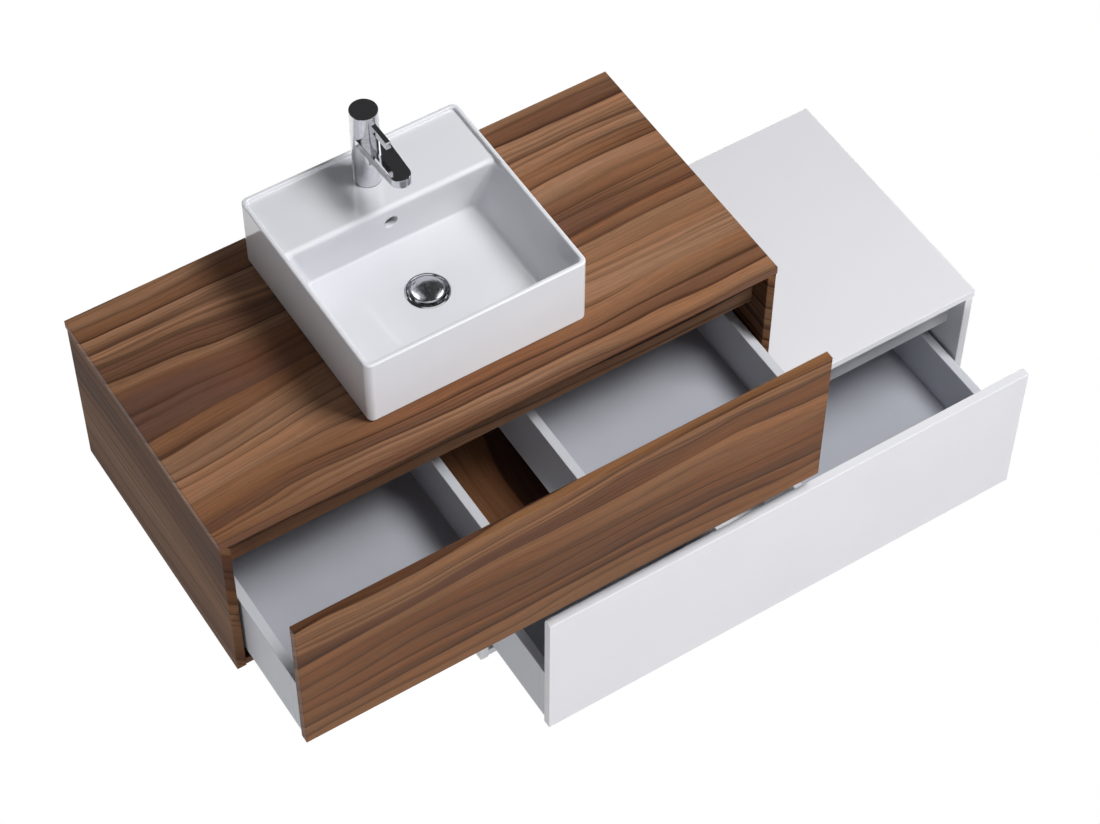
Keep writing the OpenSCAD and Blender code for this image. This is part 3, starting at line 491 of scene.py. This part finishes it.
def lines(start, *spans):
    """Grid lines from a start through spans, each with its end and the step between its lines."""
    out = []
    for end, step in spans:
        out.append(np.linspace(start, end, max(2, int(round((end - start) / step)) + 1)))
        start = end
    return np.unique(np.concatenate(out).round(7))


# ---------------------------------------------------------------- basin

basin_lo, basin_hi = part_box("basin")
BASIN_X = (basin_lo.x + basin_hi.x) / 2
BASIN_Y = (basin_lo.y + basin_hi.y) / 2
BASIN_W, BASIN_D, BASIN_H = (basin_hi - basin_lo)
BACK_Y, FRONT_Y = basin_hi.y, basin_lo.y
WORKTOP = basin_lo.z

# the block, its rim and the tap's deck
CORNER_R = 12 * MM
FOOT_R = 7 * MM
RIM_W = 7 * MM
RIM_R = 3.0 * MM
DECK_L = 133 * MM
DECK_DROP = 7 * MM
DECK_LAP = 20 * MM
DECK_FOOT_R = 1.5 * MM
DECK_SIDE_R = 2.2 * MM
TAP_HOLE_R = 17.5 * MM
TAP_Y = -96 * MM

# the bowl; its edge is rounder along the deck, from DECK_EDGE_START on and up to DECK_EDGE_TOP
BOWL_FLOOR = 33 * MM
BOWL_LEAN = 35 * MM
BOWL_UNDERCUT = 10 * MM
BOWL_TOP_R = 9 * MM
BOWL_FOOT_CORNER = 12 * MM
BOWL_FOOT_ROUND = 5 * MM
BOWL_EDGE_R = RIM_R * 0.8
DECK_EDGE_R = 9 * MM
DECK_EDGE_START, DECK_EDGE_RUN = 30 * MM, 20 * MM
DECK_EDGE_TOP, DECK_EDGE_RISE = 1 * MM, 4 * MM

# the hollow underside, the waste and the overflow
SKIRT_T = 12 * MM
SKIRT_FOOT_R = 1 * MM
CERAMIC_T = 8 * MM
BOSS_R = 42 * MM
BOSS_H = 22 * MM
SEAT_R = 32 * MM
SEAT_DEPTH = 8 * MM
SEAT_EDGE_R = 1 * MM
WASTE_R = 23 * MM
OVERFLOW_R = 11.5 * MM
OVERFLOW_EDGE_R = 1.6 * MM
OVERFLOW_LEAD = 4 * MM
OVERFLOW_SHARE = 0.6
DUCT_W = 25 * MM
DUCT_D = 11 * MM
DUCT_T = 4 * MM

DECK_Z = BASIN_H - DECK_DROP
BOWL_BACK = BACK_Y - DECK_L
WASTE_Y = (FRONT_Y + RIM_W + BOWL_LEAN + BOWL_BACK + BOWL_UNDERCUT) / 2
OVERFLOW_Z = BOWL_FLOOR + OVERFLOW_SHARE * (DECK_Z - BOWL_FLOOR)
DUCT_Y = BOWL_BACK + BOWL_UNDERCUT + CERAMIC_T
DUCT_LOW = BOWL_FLOOR - BOSS_H + DUCT_T
DUCT_TOP = BOWL_FLOOR - SEAT_DEPTH - DUCT_T

# the grid: how far it goes beyond the basin, and how deep the bands with closer lines are
GRID_PAD = 1.4 * MM
EDGE_BAND, WALL_BAND = 15.4 * MM, 50.4 * MM
SEAT_BAND, PLUG_BAND = 40 * MM, 18 * MM
DECK_BAND_FRONT, DECK_BAND_BACK = 16 * MM, 36 * MM
FLOOR_LINES, PLAIN_LINES, OVERFLOW_LINES = 50 * MM, 74 * MM, 110 * MM


def bowl_field(x, y, z):
    """The space inside the bowl, whose walls lean in and whose corners widen towards the floor."""
    lean = np.clip((BASIN_H - z) / (BASIN_H - BOWL_FLOOR), -0.2, 1.2)
    half_x = BASIN_W / 2 - RIM_W - BOWL_LEAN * lean
    front = FRONT_Y + RIM_W + BOWL_LEAN * lean
    back = BOWL_BACK + BOWL_UNDERCUT * lean
    r = BOWL_TOP_R + (BOWL_FOOT_CORNER - BOWL_TOP_R) * np.clip(lean, 0, 1)
    walls = plan(x, y - (front + back) / 2, half_x, (back - front) / 2, r)
    return round_and(walls, BOWL_FLOOR - z, BOWL_FOOT_ROUND)


def duct(x, y, z, grow, start, top):
    """The overflow's duct, down behind the bowl and then forward under its floor to the waste."""
    end = DUCT_Y + DUCT_D + grow
    low = DUCT_LOW - grow
    upright = block(x, y, z, DUCT_W / 2 + grow, (start, end), (low, OVERFLOW_Z + OVERFLOW_R + grow))
    return np.minimum(upright, block(x, y, z, DUCT_W / 2 + grow, (WASTE_Y, end), (low, top)))


def bowl_edge(y, z):
    """The radius of the bowl's upper edge: small at the rim, larger where the deck meets the bowl."""
    above = np.clip((z - DECK_Z - DECK_EDGE_TOP) / DECK_EDGE_RISE, 0, 1)
    back = np.clip((y - BOWL_BACK + DECK_EDGE_START) / DECK_EDGE_RUN, 0, 1)
    return BOWL_EDGE_R + (DECK_EDGE_R - BOWL_EDGE_R) * (1 - above) * back


def basin_field(gx, gy, gz):
    """The ceramic: below zero inside it, and near its surface about the distance to it."""
    x, y, z = gx - BASIN_X, gy, gz - WORKTOP
    out = plan(x, y - BASIN_Y, BASIN_W / 2, BASIN_D / 2, CORNER_R)
    out = round_and(out, z - BASIN_H, RIM_R)
    out = round_and(out, -z, FOOT_R)

    deck_front, deck_back = BOWL_BACK - DECK_LAP, BACK_Y - RIM_W
    deck = plan(x, y - (deck_back + deck_front) / 2, BASIN_W / 2 - RIM_W, (deck_back - deck_front) / 2,
                BOWL_TOP_R)
    out = round_and(out, -round_and(deck, DECK_Z - z, DECK_FOOT_R), DECK_SIDE_R)
    bowl = bowl_field(x, y, z)
    out = round_and(out, -bowl, bowl_edge(y, z))

    hollow = np.maximum(plan(x, y - BASIN_Y, BASIN_W / 2 - SKIRT_T, BASIN_D / 2 - SKIRT_T, BOWL_TOP_R),
                        z - DECK_Z + CERAMIC_T)
    hollow = np.maximum(hollow, CERAMIC_T - bowl)
    from_waste = np.hypot(x, y - WASTE_Y)
    boss = np.maximum(from_waste - BOSS_R, BOWL_FLOOR - BOSS_H - z)
    hollow = np.maximum(hollow, -boss)
    hollow = np.maximum(hollow, -duct(x, y, z, DUCT_T, BOWL_BACK, BOWL_FLOOR - CERAMIC_T / 2))
    out = round_and(out, -hollow, SKIRT_FOOT_R)
    out = np.maximum(out, -duct(x, y, z, 0, DUCT_Y, DUCT_TOP))

    seat = np.maximum(from_waste - SEAT_R, BOWL_FLOOR - SEAT_DEPTH - z)
    out = round_and(out, -seat, SEAT_EDGE_R)
    out = np.maximum(out, WASTE_R - from_waste)
    tap_hole = np.hypot(x, y - TAP_Y) - TAP_HOLE_R
    out = np.where(z > DECK_Z - 3 * CERAMIC_T, np.maximum(out, -tap_hole), out)
    overflow = np.maximum(np.hypot(x, z - OVERFLOW_Z) - OVERFLOW_R,
                          np.maximum(BOWL_BACK - OVERFLOW_LEAD - y, y - DUCT_Y - DUCT_D / 2))
    return round_and(out, -overflow, OVERFLOW_EDGE_R)


def make_basin():
    x0, x1 = basin_lo.x, basin_hi.x
    xs = lines(x0 - GRID_PAD, (x0 + EDGE_BAND, 1.2 * MM), (x0 + WALL_BAND, 2.5 * MM),
               (BASIN_X - SEAT_BAND, 4.2 * MM), (BASIN_X - PLUG_BAND, 2.2 * MM), (BASIN_X + PLUG_BAND, 1.5 * MM),
               (BASIN_X + SEAT_BAND, 2.2 * MM), (x1 - WALL_BAND, 4.2 * MM), (x1 - EDGE_BAND, 2.5 * MM),
               (x1 + GRID_PAD, 1.2 * MM))
    ys = lines(FRONT_Y - GRID_PAD, (FRONT_Y + EDGE_BAND, 1.2 * MM), (WASTE_Y - SEAT_BAND, 4.2 * MM),
               (WASTE_Y + SEAT_BAND, 2.5 * MM), (BOWL_BACK - DECK_BAND_FRONT, 4.2 * MM),
               (BOWL_BACK + DECK_BAND_BACK, 1.4 * MM), (BACK_Y - EDGE_BAND, 3.4 * MM),
               (BACK_Y + GRID_PAD, 1.2 * MM))
    zs = lines(-GRID_PAD, (FLOOR_LINES, 1.5 * MM), (PLAIN_LINES, 3 * MM), (OVERFLOW_LINES, 1.6 * MM),
               (BASIN_H + GRID_PAD, 1.1 * MM))
    return surface("basin_glazed", basin_field, xs, ys, WORKTOP + zs, CERAMIC)


basin = make_basin()
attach(basin, "root")
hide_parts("basin")

# ---------------------------------------------------------------- light and background

# name, place, aim, size and watts
LAMPS = (("key", (1.45, -1.7, 3.05), (0.0, -0.2, 0.15), (1.35, 1.35), 139),
         ("front", (-0.1, -6.2, 0.35), (0.15, -0.4, 0.0), (2.8, 1.0), 134),
         ("floor_bounce", (-2.5, -1.1, -0.72), (-0.3, -0.4, -0.2), (1.4, 1.4), 24),
         ("behind", (0.2, 4.6, 0.45), (0.2, 0.0, -0.1), (2.6, 1.2), 36))

# the world's brightness by how high a ray points, 0 for straight down and 1 for straight up: as it lights the
# object, and as gloss shows it
AMBIENT = ((0.0, 0.25), (0.5, 0.34), (0.65, 0.21), (0.8, 0.13), (1.0, 0.13))
REFLECTED = ((0.0, 1.0), (0.5, 1.0), (0.70, 0.9), (0.79, 0.05), (1.0, 0.03))
WORLD_BLUE = 1.02

# where gloss sees a softbox: direction, half angle in degrees, brightness; each fades out between two shares
# of its half angle
SOFTBOXES = (((0.55, 0.10, 0.81), 11, 3.0), ((-0.17, 0.53, 0.83), 11, 3.0), ((0.0, -0.80, 0.60), 42, 0.75))
FADE_FROM, FADE_TO = 0.85, 1.25

PURE_WHITE = (1.0, 1.0, 1.0, 1.0)
FLOOR_Z, FLOOR_HALF = -0.78, 6.0
FLOOR_COLOUR, FLOOR_ROUGH = (0.45, 0.45, 0.46, 1), 0.9


def lamp(name, at, aim, size, watts):
    """A rectangular lamp that gloss doesn't show."""
    light = bpy.data.lights.new(name, "AREA")
    light.shape = "RECTANGLE"
    light.size, light.size_y = size
    light.energy = watts
    obj = bpy.data.objects.new(name, light)
    obj.location = at
    obj.rotation_euler = (Vector(aim) - Vector(at)).to_track_quat("-Z", "Y").to_euler()
    obj.visible_glossy = False
    bpy.context.scene.collection.objects.link(obj)


def make_world():
    """A dim world that the camera sees as plain white, and gloss as a ramp with softboxes."""
    world = bpy.data.worlds.new("studio")
    bpy.context.scene.world = world
    n = Nodes(world)
    ray = n.add("ShaderNodeTexCoord").outputs["Generated"]
    split = n.add("ShaderNodeSeparateXYZ")
    n.link(ray, split.inputs[0])
    height = n.math("MULTIPLY_ADD", split.outputs[2], 0.5, 0.5)
    ambient, mirrored = (n.ramp(height, [(place, (v, v, v * WORLD_BLUE, 1)) for place, v in stops])
                         for stops in (AMBIENT, REFLECTED))
    for direction, angle, brightness in SOFTBOXES:
        aim = n.add("ShaderNodeVectorMath", operation="DOT_PRODUCT")
        aim.inputs[1].default_value = Vector(direction).normalized()
        n.link(ray, aim.inputs[0])
        spot = n.add("ShaderNodeMapRange", interpolation_type="SMOOTHSTEP")
        spot.inputs["From Min"].default_value = math.cos(math.radians(angle * FADE_TO))
        spot.inputs["From Max"].default_value = math.cos(math.radians(angle * FADE_FROM))
        spot.inputs["To Max"].default_value = brightness
        n.link(aim.outputs["Value"], spot.inputs["Value"])
        mirrored = n.mix(1.0, mirrored, spot.outputs[0], "ADD")
    path = n.add("ShaderNodeLightPath").outputs
    seen = n.math("MAXIMUM", path["Is Camera Ray"], path["Is Transmission Ray"])
    colour = n.mix(seen, n.mix(path["Is Glossy Ray"], ambient, mirrored), PURE_WHITE)
    background = n.tree.nodes["Background"]
    background.inputs["Strength"].default_value = 1.0
    n.link(colour, background.inputs["Color"])


def make_floor():
    """A pale floor that camera, glass and gloss see as plain white, and that is clear from below."""
    mesh = bpy.data.meshes.new("floor")
    corners = ((-1, -1), (1, -1), (1, 1), (-1, 1))
    mesh.from_pydata([(x * FLOOR_HALF, y * FLOOR_HALF, FLOOR_Z) for x, y in corners], [], [(0, 1, 2, 3)])
    floor = bpy.data.objects.new("floor", mesh)
    bpy.context.scene.collection.objects.link(floor)
    n = new_material("pale_floor")
    n.set(Base_Color=FLOOR_COLOUR, Roughness=FLOOR_ROUGH)
    path = n.add("ShaderNodeLightPath").outputs
    seen = n.math("MAXIMUM", path["Is Camera Ray"], path["Is Transmission Ray"])
    seen = n.math("MAXIMUM", seen, path["Is Glossy Ray"])
    glow = n.add("ShaderNodeEmission")
    glow.inputs["Color"].default_value = PURE_WHITE
    clear = n.add("ShaderNodeBsdfTransparent")
    below = n.add("ShaderNodeNewGeometry").outputs["Backfacing"]
    shown = n.bsdf.outputs[0]
    for fac, other in ((seen, glow), (below, clear)):
        mix = n.add("ShaderNodeMixShader")
        n.link(fac, mix.inputs[0])
        n.link(shown, mix.inputs[1])
        n.link(other.outputs[0], mix.inputs[2])
        shown = mix.outputs[0]
    n.link(shown, n.tree.nodes["Material Output"].inputs["Surface"])
    dress(floor, n.owner)


for values in LAMPS:
    lamp(*values)
make_world()
make_floor()
bpy.context.scene.view_settings.view_transform = "Standard"
